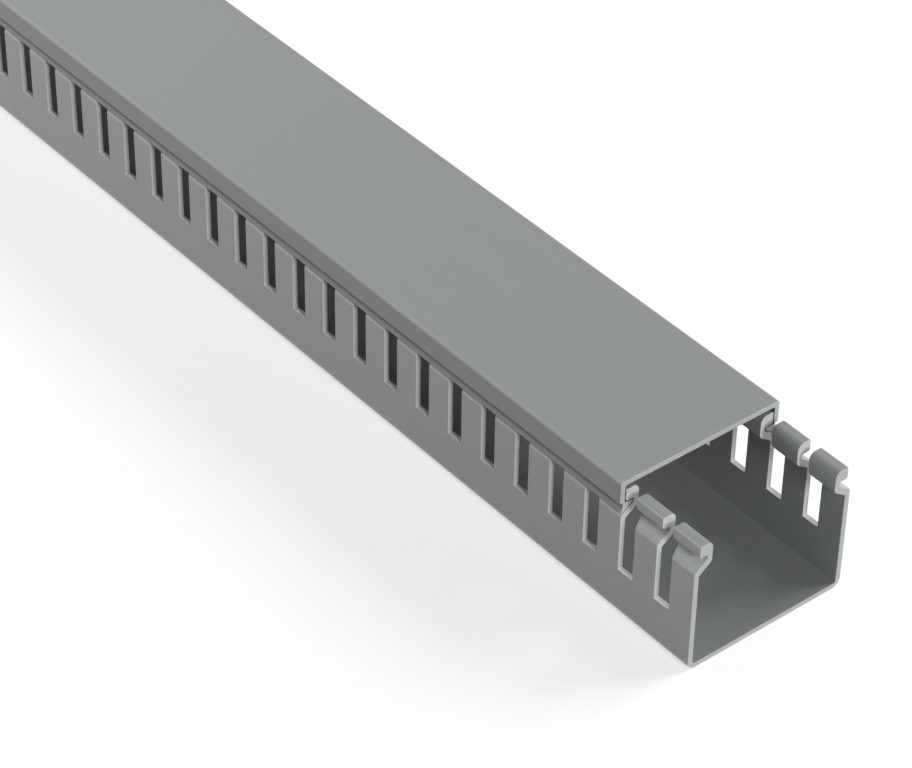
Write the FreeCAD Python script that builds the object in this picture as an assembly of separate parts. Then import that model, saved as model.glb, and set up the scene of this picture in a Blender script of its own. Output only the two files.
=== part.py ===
# Slotted wire duct: an extruded channel with punched walls, and its clip-on cover.
# Millimetres. X runs along the duct, Z is up, the open end that shows is at +X.
# The origin is on the underside, halfway along and halfway across the channel.
import FreeCAD, Part
import math
import os

# Channel
length = 1000.0
width = 48.0
wall = 1.5
floor = 1.4
bottom_round = 2.5
bottom_round_inside = 1.0

# Fingers: a straight stem, a neck that leans inwards, and a head with a lip
kink_height = 29.5
neck_angle = 35.0
neck_thickness = 1.9
neck_rise = 2.6
notch_gap = 1.2
head_height = 7.3
lip_inset = 1.3
head_inset = 5.2
head_round = 1.8

# Punching
pitch = 12.5
slot_width = 5.0
slot_bottom = 13.5
head_flare = 1.4

# Cover
cover_length = 1000.0
cover_setback = 25.0
cover_clearance = 1.3
cover_plate = 1.5
cover_flange = 1.4
cover_proud = 0.4
cover_round = 0.9
cover_round_inside = 0.5
flange_edge = 3.7
groove_depth = 0.8
groove_foot = 2.1
bead_top = 1.6
bead_round = 0.42

# Gap between the cover's barbs and the fingers they hook under
running_gap = 0.3

# How far a cutter stands out of what it cuts
overrun = 5.0


def rounded_wire(corners):
    """Closed wire in the YZ plane; each corner is (y, z) or (y, z, radius)."""
    spots = [FreeCAD.Vector(0, c[0], c[1]) for c in corners]
    radii = [c[2] if len(c) > 2 else 0.0 for c in corners]
    count = len(spots)
    stretches = []
    for i, spot in enumerate(spots):
        back = (spots[i - 1] - spot).normalize()
        ahead = (spots[(i + 1) % count] - spot).normalize()
        if radii[i] == 0.0:
            stretches.append((spot, None, spot))
            continue
        half = back.getAngle(ahead) / 2
        tangent = radii[i] / math.tan(half)
        middle = (back + ahead).normalize() * (radii[i] / math.sin(half) - radii[i])
        stretches.append((spot + back * tangent, spot + middle, spot + ahead * tangent))
    edges = []
    for i, (start, middle, end) in enumerate(stretches):
        if middle is not None:
            edges.append(Part.Arc(start, middle, end).toShape())
        following = stretches[(i + 1) % count][0]
        if end.distanceToPoint(following) > 1e-7:
            edges.append(Part.LineSegment(end, following).toShape())
    return Part.Wire(edges)


def mirrored_extrusion(half_corners, start_x, end_x):
    """Extrude a half section that ends on Y = 0 and join it to its mirror image."""
    half = Part.Face(rounded_wire(half_corners)).extrude(FreeCAD.Vector(end_x - start_x, 0, 0))
    half.translate(FreeCAD.Vector(start_x, 0, 0))
    other = half.mirror(FreeCAD.Vector(0, 0, 0), FreeCAD.Vector(0, 1, 0))
    return half.fuse(other).removeSplitter()


def at(inset, rise):
    """Section point: inset from the wall's outer face, rise above the kink."""
    return (width / 2 - inset, kink_height + rise)


def rounded(point, radius):
    return (point[0], point[1], radius)


def channel_half_section():
    slope = math.tan(math.radians(neck_angle))
    neck_top_inset = neck_rise / slope
    neck_offset = neck_thickness / math.sin(math.radians(neck_angle))
    lip_underside = neck_rise + notch_gap
    return [
        (0.0, 0.0),
        (width / 2, 0.0, bottom_round),
        at(0.0, 0.0),
        at(neck_top_inset, neck_rise),
        at(neck_top_inset, lip_underside),
        at(lip_inset, lip_underside),
        at(lip_inset, head_height),
        rounded(at(head_inset, head_height), head_round),
        at(head_inset, (head_inset - neck_offset) * slope),
        at(wall, (wall - neck_offset) * slope),
        (width / 2 - wall, floor, bottom_round_inside),
        (0.0, floor),
    ]


def slot_cutter(near_x, far_x):
    """Prism through both walls; above the kink the slot narrows by the flare of the heads."""
    flare_top = kink_height + neck_rise
    above = kink_height + head_height + overrun
    outline = [
        (near_x, slot_bottom),
        (near_x, kink_height),
        (near_x - head_flare, flare_top),
        (near_x - head_flare, above),
        (far_x, above),
        (far_x, slot_bottom),
    ]
    side = -width / 2 - overrun
    spots = [FreeCAD.Vector(x, side, z) for x, z in outline]
    face = Part.Face(Part.makePolygon(spots + spots[:1]))
    return face.extrude(FreeCAD.Vector(0, width + 2 * overrun, 0))


def slot_cutters():
    near_end = length / 2
    cutters = []
    start = pitch - slot_width
    while start < length:
        end = start + slot_width
        if end >= length:
            end = length + overrun
        cutters.append(slot_cutter(near_end - start, near_end - end))
        start += pitch
    return cutters


def duct_base():
    channel = mirrored_extrusion(channel_half_section(), -length / 2, length / 2)
    return channel.cut(Part.makeCompound(slot_cutters()))


def cover_half_section():
    lean = math.radians(neck_angle)
    slope = math.tan(lean)
    underside = head_height + cover_clearance
    top = underside + cover_plate
    flange_inside = cover_flange - cover_proud
    groove_inset = groove_depth - cover_proud
    above_neck = running_gap / math.cos(lean)
    tip_inset = neck_rise / slope - running_gap
    tip_rise = neck_rise + notch_gap - running_gap
    return [
        (0.0, kink_height + top),
        rounded(at(-cover_proud, top), cover_round),
        at(-cover_proud, flange_edge),
        at(groove_inset, flange_edge),
        at(groove_inset, groove_foot),
        at(0.0, bead_top),
        rounded(at(0.0, above_neck), bead_round),
        at(tip_inset, tip_inset * slope + above_neck),
        at(tip_inset, tip_rise),
        at(flange_inside, tip_rise),
        rounded(at(flange_inside, underside), cover_round_inside),
        (0.0, kink_height + underside),
    ]


def duct_cover():
    near_end = length / 2 - cover_setback
    return mirrored_extrusion(cover_half_section(), near_end - cover_length, near_end)


def save(shape, node):
    solids = shape.Solids
    print(node, "solids", len(solids), "valid", shape.isValid(), "faces", len(shape.Faces),
          "cm3", round(shape.Volume / 1000, 2))
    solids[0].exportStep("parts/" + node + ".step")


os.makedirs("parts", exist_ok=True)
save(duct_base(), "duct_base")
save(duct_cover(), "duct_cover")
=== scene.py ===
# Looks of the slotted wire duct: a punched channel of grey rigid PVC and its clip-on cover.
import math

import bmesh
import bpy
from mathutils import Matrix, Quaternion, Vector


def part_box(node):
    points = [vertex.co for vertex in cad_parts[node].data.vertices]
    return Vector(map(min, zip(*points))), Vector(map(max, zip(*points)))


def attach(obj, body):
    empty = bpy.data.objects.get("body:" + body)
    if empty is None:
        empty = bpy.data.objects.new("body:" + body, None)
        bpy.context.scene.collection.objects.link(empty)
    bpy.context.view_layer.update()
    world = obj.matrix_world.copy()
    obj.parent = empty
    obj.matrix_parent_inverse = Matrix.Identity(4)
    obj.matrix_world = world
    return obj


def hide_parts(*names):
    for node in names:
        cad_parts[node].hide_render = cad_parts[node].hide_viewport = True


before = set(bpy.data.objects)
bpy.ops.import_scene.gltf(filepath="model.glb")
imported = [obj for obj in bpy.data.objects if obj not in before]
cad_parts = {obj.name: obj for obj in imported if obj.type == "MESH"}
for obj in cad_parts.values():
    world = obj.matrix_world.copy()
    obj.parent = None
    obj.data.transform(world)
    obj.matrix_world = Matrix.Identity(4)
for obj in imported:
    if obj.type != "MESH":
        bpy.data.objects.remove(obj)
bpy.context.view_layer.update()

mm = 0.001
tiny = 1e-4     # mm, for telling one plane of the section from another
weldGap = 1e-3  # mm, between vertices that become one
onPlane = 0.01  # mm, for telling which plane a finished face lies in


def mmBox(node):
    low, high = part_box(node)
    return low / mm, high / mm


baseLow, baseHigh = mmBox("duct_base")
coverLow, coverHigh = mmBox("duct_cover")


# Camera

cameraSpec = {
    "azimuth": 50.68,
    "elevation": 38.60,
    "roll": 0.94,
    "distance": 0.7987,
    "target": (0.4053, -0.0158, 0.020),
    "lens": 130.0,
    "sensor": 36.0,
}


def makeCamera(spec):
    azimuth, elevation = math.radians(spec["azimuth"]), math.radians(spec["elevation"])
    back = Vector((math.sin(azimuth) * math.cos(elevation),
                   -math.cos(azimuth) * math.cos(elevation),
                   math.sin(elevation)))
    data = bpy.data.cameras.new("camera")
    data.lens = spec["lens"]
    data.sensor_width = spec["sensor"]
    camera = bpy.data.objects.new("camera", data)
    camera.location = Vector(spec["target"]) + back * spec["distance"]
    roll = Quaternion((0.0, 0.0, 1.0), math.radians(spec["roll"]))
    camera.rotation_euler = ((-back).to_track_quat("-Z", "Y") @ roll).to_euler()
    bpy.context.scene.collection.objects.link(camera)
    bpy.context.scene.camera = camera


makeCamera(cameraSpec)
print("camera placed")


# Materials

def linearColour(hexColour):
    channels = [int(hexColour[i:i + 2], 16) / 255 for i in (1, 3, 5)]
    return tuple(c / 12.92 if c <= 0.04045 else ((c + 0.055) / 1.055) ** 2.4 for c in channels) + (1.0,)


def addNode(tree, kind, settings=None, inputs=None, links=None):
    node = tree.nodes.new(kind)
    for name, value in (settings or {}).items():
        setattr(node, name, value)
    for name, value in (inputs or {}).items():
        node.inputs[name].default_value = value
    for name, socket in (links or {}).items():
        tree.links.new(socket, node.inputs[name])
    return node


# Rigid PVC straight from the die: satin, with faint streaks along the length
skinSpec = {
    "dark": "#929795",
    "light": "#959a98",
    "roughness": 0.34,
    "smoother": 0.05,        # how far a streak's roughness falls below that
    "rougher": 0.06,         # and how far it rises above it
    "streakWidth": 0.9,      # mm across the duct
    "streakLength": 160.0,   # mm along the duct
    "grain": 0.35,           # mm, drawn coarser than the real grain so that it shows
    "relief": 0.004,         # mm
    "reliefStrength": 0.35,
}
# The cover's own extrusion: a darker batch with a softer gloss. The base's heads wear it on their tops
# and rounds as painted shade
coverSkinSpec = dict(skinSpec, dark="#7c807e", light="#7e8381", roughness=0.42)
# Painted highlight on rounded edges, and painted light on the necks' upward slope: paler, with a duller
# gloss
paintedHighlightSpec = dict(skinSpec, dark="#a6aba9", light="#adb2b0", roughness=0.50)
# The same painted highlight, less pale, on the cover's shoulder round
coverPaintedHighlightSpec = dict(paintedHighlightSpec, dark="#979c9a", light="#9da2a0")
# Painted shade: a dark, matt colour on the channel's floor, in the cover's groove and under its plate,
# the floor darkest of all
insideShadeSpec = dict(skinSpec, dark="#6c716f", light="#6f7472", roughness=0.75)
# Painted shade, lighter than on the floor, for upright faces turned to the channel
innerWallShadeSpec = dict(skinSpec, dark="#8a8f8d", light="#8d9290", roughness=0.6)

# The same plastic where the saw went through: paler and matt, with tool marks across the wall
cutSpec = {
    "dark": "#a4a8a7",
    "light": "#aeb2b1",
    "roughness": 0.6,
    "markSpacing": 3.265,    # mm between tool marks, drawn coarser than the real ones so that they show
    "grain": 0.25,           # mm
    "relief": 0.03,          # mm
    "reliefStrength": 0.4,
}
# Where the punch went through: as pale as the sawn end and paler still, a painted light that lifts the
# shade the next finger casts into the slot
punchedPaintedLightSpec = dict(cutSpec, dark="#b5b9b8", light="#bfc3c2")

pvcIor = 1.53
diagonalBand = 2 * math.pi / (10 * math.sqrt(3))  # spacing of a wave texture's diagonal bands at scale 1


def newPvc(name):
    material = bpy.data.materials.new(name)
    material.use_nodes = True
    tree = material.node_tree
    shader = tree.nodes["Principled BSDF"]
    shader.inputs["IOR"].default_value = pvcIor
    place = addNode(tree, "ShaderNodeTexCoord").outputs["Object"]
    return material, tree, shader, place


def colourFrom(tree, shader, pattern, spec, low=0.35, high=0.65):  # dark below low, light above high
    ramp = addNode(tree, "ShaderNodeValToRGB", links={"Fac": pattern})
    ramp.color_ramp.elements[0].position = low
    ramp.color_ramp.elements[1].position = high
    ramp.color_ramp.elements[0].color = linearColour(spec["dark"])
    ramp.color_ramp.elements[1].color = linearColour(spec["light"])
    tree.links.new(ramp.outputs["Color"], shader.inputs["Base Color"])


def reliefFrom(tree, shader, patterns, spec):  # two patterns, one on top of the other
    height = addNode(tree, "ShaderNodeMath", {"operation": "ADD"}, links=dict(enumerate(patterns)))
    bump = addNode(tree, "ShaderNodeBump", links={"Height": height.outputs["Value"]},
                   inputs={"Strength": spec["reliefStrength"], "Distance": spec["relief"] * mm})
    tree.links.new(bump.outputs["Normal"], shader.inputs["Normal"])


def extrudedPvc(name, spec):
    material, tree, shader, place = newPvc(name)
    along = 1 / (spec["streakLength"] * mm)
    across = 1 / (spec["streakWidth"] * mm)
    stretch = addNode(tree, "ShaderNodeMapping", inputs={"Scale": (along, across, across)},
                      links={"Vector": place})
    streaks = addNode(tree, "ShaderNodeTexNoise", inputs={"Scale": 1.0, "Detail": 3.0, "Roughness": 0.55},
                      links={"Vector": stretch.outputs["Vector"]}).outputs["Fac"]
    grain = addNode(tree, "ShaderNodeTexNoise", inputs={"Scale": 1 / (spec["grain"] * mm), "Detail": 2.0},
                    links={"Vector": place}).outputs["Fac"]
    colourFrom(tree, shader, streaks, spec)
    rough = addNode(tree, "ShaderNodeMapRange", links={"Value": streaks}, inputs={
        "From Min": 0.3,
        "From Max": 0.7,
        "To Min": spec["roughness"] - spec["smoother"],
        "To Max": spec["roughness"] + spec["rougher"],
    })
    tree.links.new(rough.outputs["Result"], shader.inputs["Roughness"])
    reliefFrom(tree, shader, (streaks, grain), spec)
    return material


def cutPvc(name, spec):
    material, tree, shader, place = newPvc(name)
    marks = addNode(tree, "ShaderNodeTexWave", {"wave_type": "BANDS", "bands_direction": "DIAGONAL"},
                    inputs={"Scale": diagonalBand / (spec["markSpacing"] * mm), "Distortion": 2.5,
                            "Detail": 2.0},
                    links={"Vector": place}).outputs["Fac"]
    grain = addNode(tree, "ShaderNodeTexNoise", inputs={"Scale": 1 / (spec["grain"] * mm), "Detail": 4.0},
                    links={"Vector": place}).outputs["Fac"]
    colourFrom(tree, shader, grain, spec)
    shader.inputs["Roughness"].default_value = spec["roughness"]
    reliefFrom(tree, shader, (marks, grain), spec)
    return material


skin = extrudedPvc("rigid PVC, extruded skin", skinSpec)
coverSkin = extrudedPvc("rigid PVC, extruded skin of the cover", coverSkinSpec)
insideShade = extrudedPvc("rigid PVC, painted shade inside", insideShadeSpec)
cut = cutPvc("rigid PVC, sawn end", cutSpec)
punchedPaintedLight = cutPvc("rigid PVC, punched slot edge with painted light", punchedPaintedLightSpec)
paintedHighlight = extrudedPvc("rigid PVC, painted highlight on edges and necks", paintedHighlightSpec)
coverPaintedHighlight = extrudedPvc("rigid PVC, painted highlight on the cover's shoulder", coverPaintedHighlightSpec)
innerWallShade = extrudedPvc("rigid PVC, painted shade on the inner walls", innerWallShadeSpec)

# In the order of the indices; the cover uses the first four
baseFinishes = [skin, insideShade, cut, paintedHighlight, coverSkin, innerWallShade, punchedPaintedLight]
coverFinishes = [coverSkin, insideShade, cut, coverPaintedHighlight]
skinIndex, insideShadeIndex, cutIndex, paintedHighlightIndex, headTopShadeIndex, innerWallShadeIndex, punchedPaintedLightIndex = range(7)
print("materials ready")


# Meshing helpers

def roundCorner(bm, spot, radius, segments):  # mm, on a flat section
    vert = min(bm.verts, key=lambda v: (v.co.y - spot[0]) ** 2 + (v.co.z - spot[1]) ** 2)
    first, second = [(edge.other_vert(vert).co - vert.co) for edge in vert.link_edges][:2]
    offset = radius / math.tan(first.angle(second) / 2)
    bmesh.ops.bevel(bm, geom=[vert], offset=offset, offset_type="OFFSET", segments=segments,
                    profile=0.5, affect="VERTICES", clamp_overlap=True, material=-1)


def newFace(bm, corners):  # flat section from (y, z) corners, welded to what stands there already
    standing = list(bm.verts)
    verts = []
    for y, z in corners:
        match = [v for v in standing if abs(v.co.y - y) < tiny and abs(v.co.z - z) < tiny]
        verts.append(match[0] if match else bm.verts.new((0.0, y, z)))
    bm.faces.new(verts)


def extrudeAlong(bm, faces, distance):
    grown = bmesh.ops.extrude_face_region(bm, geom=faces)["geom"]
    verts = [g for g in grown if isinstance(g, bmesh.types.BMVert)]
    bmesh.ops.translate(bm, verts=verts, vec=(distance, 0.0, 0.0))
    return [g for g in grown if isinstance(g, bmesh.types.BMFace)]


def middleFaces(bm):  # where the two halves are going to meet
    return [f for f in bm.faces if all(abs(v.co.y) < tiny for v in f.verts)]


def mirrorHalf(bm):
    bmesh.ops.mirror(bm, geom=bm.verts[:] + bm.edges[:] + bm.faces[:], axis="Y", merge_dist=weldGap)


def dissolveSeam(bm):  # the two mirrored halves become one where they meet flat
    seam = [e for e in bm.edges if all(abs(v.co.y) < tiny for v in e.verts) and len(e.link_faces) == 2]
    bmesh.ops.dissolve_edges(bm, edges=seam, use_verts=True)


def placeAlong(bm, x):
    bmesh.ops.translate(bm, verts=bm.verts, vec=(x, 0.0, 0.0))
    bmesh.ops.recalc_face_normals(bm, faces=bm.faces)


def finishMesh(bm, name, body, materials, edgeWidth):
    bmesh.ops.recalc_face_normals(bm, faces=bm.faces)
    bmesh.ops.scale(bm, vec=(mm, mm, mm), verts=bm.verts)
    mesh = bpy.data.meshes.new(name)
    bm.to_mesh(mesh)
    bm.free()
    for material in materials:
        mesh.materials.append(material)
    mesh.shade_smooth()
    piece = bpy.data.objects.new(name, mesh)
    bpy.context.scene.collection.objects.link(piece)
    edges = piece.modifiers.new("broken edges", "BEVEL")
    edges.width = edgeWidth * mm
    edges.segments = 2
    edges.limit_method = "ANGLE"
    edges.angle_limit = math.radians(35)  # above what two faces of a rounding turn by
    edges.use_clamp_overlap = True
    normals = piece.modifiers.new("flat faces stay flat", "WEIGHTED_NORMAL")
    normals.mode = "FACE_AREA"
    normals.weight = 100
    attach(piece, body)
    return piece


# How much of a face's unit normal lies along an axis, at least, when its finish is chosen
facing = {
    "square": 0.9,   # square to that axis
    "cut": 0.3,      # along the duct, because the flare leans some of the cut faces
    "slope": 0.5,    # upwards, on the neck's outer slope
    "top": 0.2,      # upwards, on a head's top and its rounds
}


def onRound(face, y, z, reach):  # a narrow face of the rounding at this corner of the section
    middle = face.calc_center_median()
    leaning = 0.1 < face.normal.z < 0.98  # neither upright nor flat
    return leaning and math.hypot(abs(middle.y) - y, middle.z - z) < reach


# Base: the channel with its fingers

baseSpec = {
    "wall": 1.5,
    "floor": 1.4,
    "bottomRound": 2.5,
    "bottomRoundInside": 0.7,
    "kinkHeight": 29.5,
    "kinkRound": 0.8,
    "kinkHighlightShare": 0.6,         # share of that round that gets the painted highlight
    "neckAngle": 35.0,
    "neckRise": 2.6,
    "neckThickness": 1.9,
    "notchGap": 1.2,
    "notchRound": 0.5,
    "lipInset": 1.3,
    "lipFootRound": 0.7,
    "lipTopRound": 0.45,
    "headInset": 5.2,
    "headRound": 1.8,
    "headFootRound": 1.8,
    "pitch": 12.5,
    "slotWidth": 5.0,
    "slotBottom": 13.5,
    "headFlare": 1.4,
    "brokenEdge": 0.12,
}


def lowerSection(bm, s, halfWidth):  # half of the floor and the unpunched foot of the wall
    newFace(bm, [
        (0.0, 0.0),
        (halfWidth, 0.0),
        (halfWidth, s["slotBottom"]),
        (halfWidth - s["wall"], s["slotBottom"]),
        (halfWidth - s["wall"], s["floor"]),
        (0.0, s["floor"]),
    ])


def upperSection(bm, s, halfWidth, height):  # one finger: stem, leaning neck, and head with its lip
    kink = s["kinkHeight"]
    slope = math.tan(math.radians(s["neckAngle"]))
    neckInset = s["neckRise"] / slope
    neckDrop = s["neckThickness"] / math.cos(math.radians(s["neckAngle"]))
    lipUnder = kink + s["neckRise"] + s["notchGap"]
    corners = {
        "footOut": (halfWidth, s["slotBottom"]),
        "kinkOut": (halfWidth, kink),
        "neckTop": (halfWidth - neckInset, kink + s["neckRise"]),
        "notch": (halfWidth - neckInset, lipUnder),
        "lipFoot": (halfWidth - s["lipInset"], lipUnder),
        "lipTop": (halfWidth - s["lipInset"], height),
        "headTop": (halfWidth - s["headInset"], height),
        "headFoot": (halfWidth - s["headInset"], kink + s["headInset"] * slope - neckDrop),
        "kinkIn": (halfWidth - s["wall"], kink + s["wall"] * slope - neckDrop),
        "footIn": (halfWidth - s["wall"], s["slotBottom"]),
    }
    newFace(bm, list(corners.values()))
    return corners


def paintBase(bm, s, halfWidth, spots):
    kink = s["kinkHeight"]
    for face in bm.faces:
        middle, normal = face.calc_center_median(), face.normal
        across = abs(normal.x) > facing["cut"]
        sawn = across and baseHigh.x - abs(middle.x) < onPlane
        # Punched faces and slot bottoms take the paler punched colour, painted light against the slot's
        # shade
        slotFoot = normal.z > facing["square"] and abs(middle.z - s["slotBottom"]) < onPlane
        # Painted shade on upright faces turned to the channel, the heads' inner faces too
        innerFace = abs(normal.y) > facing["square"] and normal.y * middle.y < 0.0
        # Painted shade on the floor and the other faces inside the channel
        indoors = s["floor"] - tiny < middle.z < kink and abs(middle.y) < halfWidth - s["wall"] + tiny
        onNeck = kink < middle.z < kink + s["neckRise"] and normal.z > facing["slope"]
        # Painted highlight on the kink and lip-top rounds, painted light on the neck's upward slope
        highlighted = (onNeck or onRound(face, *spots["kinkOut"], s["kinkRound"] * s["kinkHighlightShare"])
                or onRound(face, *spots["lipTop"], s["lipTopRound"]))
        # Painted shade: the heads' tops and their rounds take the cover's darker skin, where light falls
        # brightest
        headTopShaded = middle.z > baseHigh.z - s["headRound"] and normal.z > facing["top"]
        face.material_index = (cutIndex if sawn else
                               punchedPaintedLightIndex if across or slotFoot else
                               innerWallShadeIndex if innerFace else
                               insideShadeIndex if indoors else
                               paintedHighlightIndex if highlighted else
                               headTopShadeIndex if headTopShaded else skinIndex)


def makeBase(s):
    halfWidth = baseHigh.y
    bm = bmesh.new()
    lowerSection(bm, s, halfWidth)
    spots = upperSection(bm, s, halfWidth, baseHigh.z)
    rounds = [  # corner, radius, segments
        ((halfWidth, 0.0), s["bottomRound"], 8),
        ((halfWidth - s["wall"], s["floor"]), s["bottomRoundInside"], 5),
        (spots["kinkOut"], s["kinkRound"], 3),
        (spots["neckTop"], s["notchRound"], 2),
        (spots["notch"], s["notchRound"], 3),
        (spots["lipFoot"], s["lipFootRound"], 4),
        (spots["lipTop"], s["lipTopRound"], 5),
        (spots["headTop"], s["headRound"], 8),
        (spots["headFoot"], s["headFootRound"], 5),
    ]
    for spot, radius, segments in rounds:
        roundCorner(bm, spot, radius, segments)

    # One pitch: the finger, then the slot, where only the foot of the wall goes on
    ends = extrudeAlong(bm, bm.faces[:], s["slotWidth"] - s["pitch"])
    for face in ends:
        for vert in face.verts:
            rise = vert.co.z - s["kinkHeight"]
            vert.co.x -= s["headFlare"] * min(max(rise / s["neckRise"], 0.0), 1.0)
    lowerEnd = min(ends, key=lambda f: f.calc_center_median().z)
    extrudeAlong(bm, [lowerEnd], -s["slotWidth"])

    # Faces across the seams come off, so that the next pitch welds on
    seams = [f for f in bm.faces
             if abs(f.normal.x) > facing["square"] and f.calc_center_median().z < s["slotBottom"]]
    bmesh.ops.delete(bm, geom=seams + middleFaces(bm), context="FACES")
    cell = bm.verts[:] + bm.edges[:] + bm.faces[:]
    count = round((baseHigh.x - baseLow.x) / s["pitch"])
    for i in range(1, count):
        copy = bmesh.ops.duplicate(bm, geom=cell)["geom"]
        bmesh.ops.translate(bm, verts=[g for g in copy if isinstance(g, bmesh.types.BMVert)],
                            vec=(-s["pitch"] * i, 0.0, 0.0))
    bmesh.ops.remove_doubles(bm, verts=bm.verts, dist=weldGap)
    mirrorHalf(bm)
    bmesh.ops.holes_fill(bm, edges=[e for e in bm.edges if e.is_boundary], sides=0)
    dissolveSeam(bm)
    placeAlong(bm, baseHigh.x)
    paintBase(bm, s, halfWidth, spots)
    piece = finishMesh(bm, "ductBase", "base", baseFinishes, s["brokenEdge"])
    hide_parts("duct_base")


makeBase(baseSpec)
print("base ready")


# Cover

coverSpec = {
    "plate": 1.5,
    "flange": 1.4,
    "proud": 0.4,
    "cornerRound": 0.9,
    "cornerHighlightShare": 0.7,       # share of that round that gets the painted highlight
    "cornerRoundInside": 0.5,
    "flangeEdge": 3.7,
    "flangeEdgeRound": 0.3,
    "grooveDepth": 0.8,
    "grooveFoot": 2.1,
    "grooveFootRound": 0.4,
    "beadTop": 1.6,
    "beadRound": 0.42,
    "barbRound": 0.2,
    "gap": 0.3,
    "brokenEdge": 0.12,
}


def coverSection(bm, s, b, halfWidth, top):  # half of the cover: plate, flange, groove, bead and barb
    kink = b["kinkHeight"]
    wallFace = halfWidth - s["proud"]
    lean = math.radians(b["neckAngle"])
    aboveNeck = s["gap"] / math.cos(lean)
    tipInset = b["neckRise"] / math.tan(lean) - s["gap"]
    tipTop = b["neckRise"] + b["notchGap"] - s["gap"]

    def at(inset, rise):
        return (wallFace - inset, kink + rise)

    corners = {
        "middleTop": (0.0, top),
        "shoulder": (halfWidth, top),
        "flangeEdge": (halfWidth, kink + s["flangeEdge"]),
        "grooveTop": at(s["grooveDepth"] - s["proud"], s["flangeEdge"]),
        "grooveFoot": at(s["grooveDepth"] - s["proud"], s["grooveFoot"]),
        "beadTop": at(0.0, s["beadTop"]),
        "beadFoot": at(0.0, aboveNeck),
        "tipFoot": at(tipInset, tipInset * math.tan(lean) + aboveNeck),
        "tipTop": at(tipInset, tipTop),
        "flangeFoot": at(s["flange"] - s["proud"], tipTop),
        "plateIn": (halfWidth - s["flange"], top - s["plate"]),
        "middleFoot": (0.0, top - s["plate"]),
    }
    newFace(bm, list(corners.values()))
    return corners


def paintCover(bm, s, b, halfWidth, spots):
    grooveLow = b["kinkHeight"] + s["grooveFoot"]
    grooveHigh = b["kinkHeight"] + s["flangeEdge"]
    for face in bm.faces:
        middle = face.calc_center_median()
        # Painted shade in the groove under the flange and on the underside of the plate
        inGroove = grooveLow < middle.z < grooveHigh + tiny
        under = inGroove or (abs(middle.y) < halfWidth - s["flange"] + tiny
                             and middle.z < coverHigh.z - s["plate"] + tiny)
        # Painted highlight on the shoulder round
        highlighted = onRound(face, *spots["shoulder"], s["cornerRound"] * s["cornerHighlightShare"])
        face.material_index = (cutIndex if abs(face.normal.x) > facing["cut"] else
                               insideShadeIndex if under else
                               paintedHighlightIndex if highlighted else skinIndex)


def makeCover(s, b):
    halfWidth = coverHigh.y
    bm = bmesh.new()
    spots = coverSection(bm, s, b, halfWidth, coverHigh.z)
    rounds = [  # corner, radius, segments
        ("shoulder", s["cornerRound"], 7),
        ("flangeEdge", s["flangeEdgeRound"], 3),
        ("grooveFoot", s["grooveFootRound"], 3),
        ("beadFoot", s["beadRound"], 5),
        ("tipTop", s["barbRound"], 2),
        ("flangeFoot", s["barbRound"], 2),
        ("plateIn", s["cornerRoundInside"], 4),
    ]
    for name, radius, segments in rounds:
        roundCorner(bm, spots[name], radius, segments)
    extrudeAlong(bm, bm.faces[:], coverLow.x - coverHigh.x)
    bmesh.ops.delete(bm, geom=middleFaces(bm), context="FACES")
    mirrorHalf(bm)
    dissolveSeam(bm)
    placeAlong(bm, coverHigh.x)
    paintCover(bm, s, b, halfWidth, spots)
    piece = finishMesh(bm, "ductCover", "cover", coverFinishes, s["brokenEdge"])
    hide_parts("duct_cover")


makeCover(coverSpec, baseSpec)
print("cover ready")


# Studio

studioSpec = {
    "floorSize": 14.0,
    "floorDrop": 0.2,         # mm under the duct, so that the two faces don't flicker
    "floorLift": 0.52,        # share of plain white in what the camera sees of the floor
    "floorWhite": 1.0,        # the paper's own white, where the camera sees it
    "floorBounce": 0.45,      # the same for the light that it throws on to the duct
    "worldLight": 0.12,       # strength of the white surroundings, where they aren't seen
    # name: direction from the duct, width in degrees, strength
    "softboxes": {
        "key, back right": ((0.16, 0.78, 0.50), 40, 2.9),
        "fill, beside the camera": ((0.80, -0.15, 0.48), 16, 2.1),
        "back light, behind the far end": ((-0.90, 0.10, 0.42), 30, 0.35),
        "under light, for the underside": ((0.0, 0.0, -1.0), 6, 1.6),
    },
    "lamp": {"at": (-0.35, -0.45, 0.35), "aim": (0.20, 0.0, 0.02), "size": 0.5, "power": 3.1},
}


def seenDirectly(tree):  # 1 for what the camera sees, also in gloss and through glass
    rays = addNode(tree, "ShaderNodeLightPath")
    cameraOrGloss = addNode(tree, "ShaderNodeMath", {"operation": "MAXIMUM"},
                            links={0: rays.outputs["Is Camera Ray"], 1: rays.outputs["Is Glossy Ray"]})
    seen = addNode(tree, "ShaderNodeMath", {"operation": "MAXIMUM"},
                   links={0: cameraOrGloss.outputs["Value"], 1: rays.outputs["Is Transmission Ray"]})
    return seen.outputs["Value"]


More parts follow.
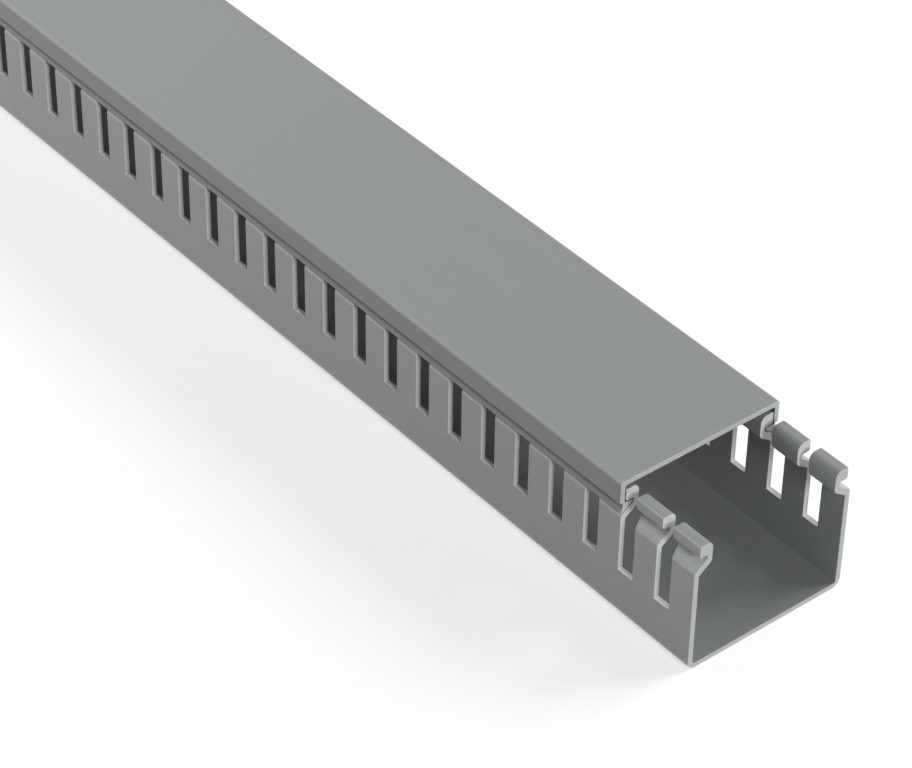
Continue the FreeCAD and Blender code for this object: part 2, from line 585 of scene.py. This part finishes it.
def sweepPaper(s):
    material = bpy.data.materials.new("white paper sweep")
    material.use_nodes = True
    tree = material.node_tree
    tree.nodes.remove(tree.nodes["Principled BSDF"])
    seen = seenDirectly(tree)
    shade = addNode(tree, "ShaderNodeMapRange", links={"Value": seen},
                    inputs={"To Min": s["floorBounce"], "To Max": s["floorWhite"]})
    paper = addNode(tree, "ShaderNodeBsdfDiffuse", links={"Color": shade.outputs["Result"]})
    white = addNode(tree, "ShaderNodeEmission", inputs={"Strength": 1.0})
    lift = addNode(tree, "ShaderNodeMath", {"operation": "MULTIPLY"},
                   inputs={1: s["floorLift"]}, links={0: seen})
    lifted = addNode(tree, "ShaderNodeMixShader", links={
        0: lift.outputs["Value"], 1: paper.outputs["BSDF"], 2: white.outputs["Emission"]})

    # From below, the duct is seen and lit through the sweep
    rays = addNode(tree, "ShaderNodeLightPath")
    side = addNode(tree, "ShaderNodeNewGeometry")
    clear = addNode(tree, "ShaderNodeBsdfTransparent")
    through = addNode(tree, "ShaderNodeMath", {"operation": "MAXIMUM"},
                      links={0: side.outputs["Backfacing"], 1: rays.outputs["Is Shadow Ray"]})
    sheet = addNode(tree, "ShaderNodeMixShader", links={
        0: through.outputs["Value"], 1: lifted.outputs["Shader"], 2: clear.outputs["BSDF"]})
    tree.links.new(sheet.outputs["Shader"], tree.nodes["Material Output"].inputs["Surface"])
    return material


def makeFloor(s):
    bm = bmesh.new()
    bmesh.ops.create_grid(bm, x_segments=1, y_segments=1, size=s["floorSize"] / 2)
    bmesh.ops.translate(bm, verts=bm.verts, vec=(0.0, 0.0, -s["floorDrop"] * mm))
    mesh = bpy.data.meshes.new("floor")
    bm.to_mesh(mesh)
    bm.free()
    mesh.materials.append(sweepPaper(s))
    floor = bpy.data.objects.new("floor", mesh)
    bpy.context.scene.collection.objects.link(floor)


def makeWorld(s):
    world = bpy.data.worlds.new("studio")
    world.use_nodes = True
    bpy.context.scene.world = world
    tree = world.node_tree
    background = tree.nodes["Background"]
    strength = addNode(tree, "ShaderNodeMapRange", links={"Value": seenDirectly(tree)},
                       inputs={"To Min": s["worldLight"], "To Max": 1.0})
    background.inputs["Color"].default_value = (1.0, 1.0, 1.0, 1.0)
    tree.links.new(strength.outputs["Result"], background.inputs["Strength"])


def placeLight(name, data, location, away):  # away: direction from what it lights
    light = bpy.data.objects.new(name, data)
    light.location = location
    light.rotation_euler = (-away).to_track_quat("-Z", "Y").to_euler()
    bpy.context.scene.collection.objects.link(light)
    return light


def addSoftbox(name, direction, width, strength):  # far away, so it is even along the whole duct
    data = bpy.data.lights.new(name, "SUN")
    data.angle = math.radians(width)
    data.energy = strength
    placeLight(name, data, Vector(direction), Vector(direction))


def addLamp(name, s):
    data = bpy.data.lights.new(name, "AREA")
    data.shape = "DISK"
    data.size = s["size"]
    data.energy = s["power"]
    lamp = placeLight(name, data, Vector(s["at"]), Vector(s["at"]) - Vector(s["aim"]))
    lamp.visible_glossy = False  # it is close, and would show as a spot in the cover's gloss


makeFloor(studioSpec)
makeWorld(studioSpec)
for lightName, lightSpec in studioSpec["softboxes"].items():
    addSoftbox(lightName, *lightSpec)
addLamp("small lamp, left", studioSpec["lamp"])
bpy.context.scene.view_settings.view_transform = "Standard"
print("studio ready")
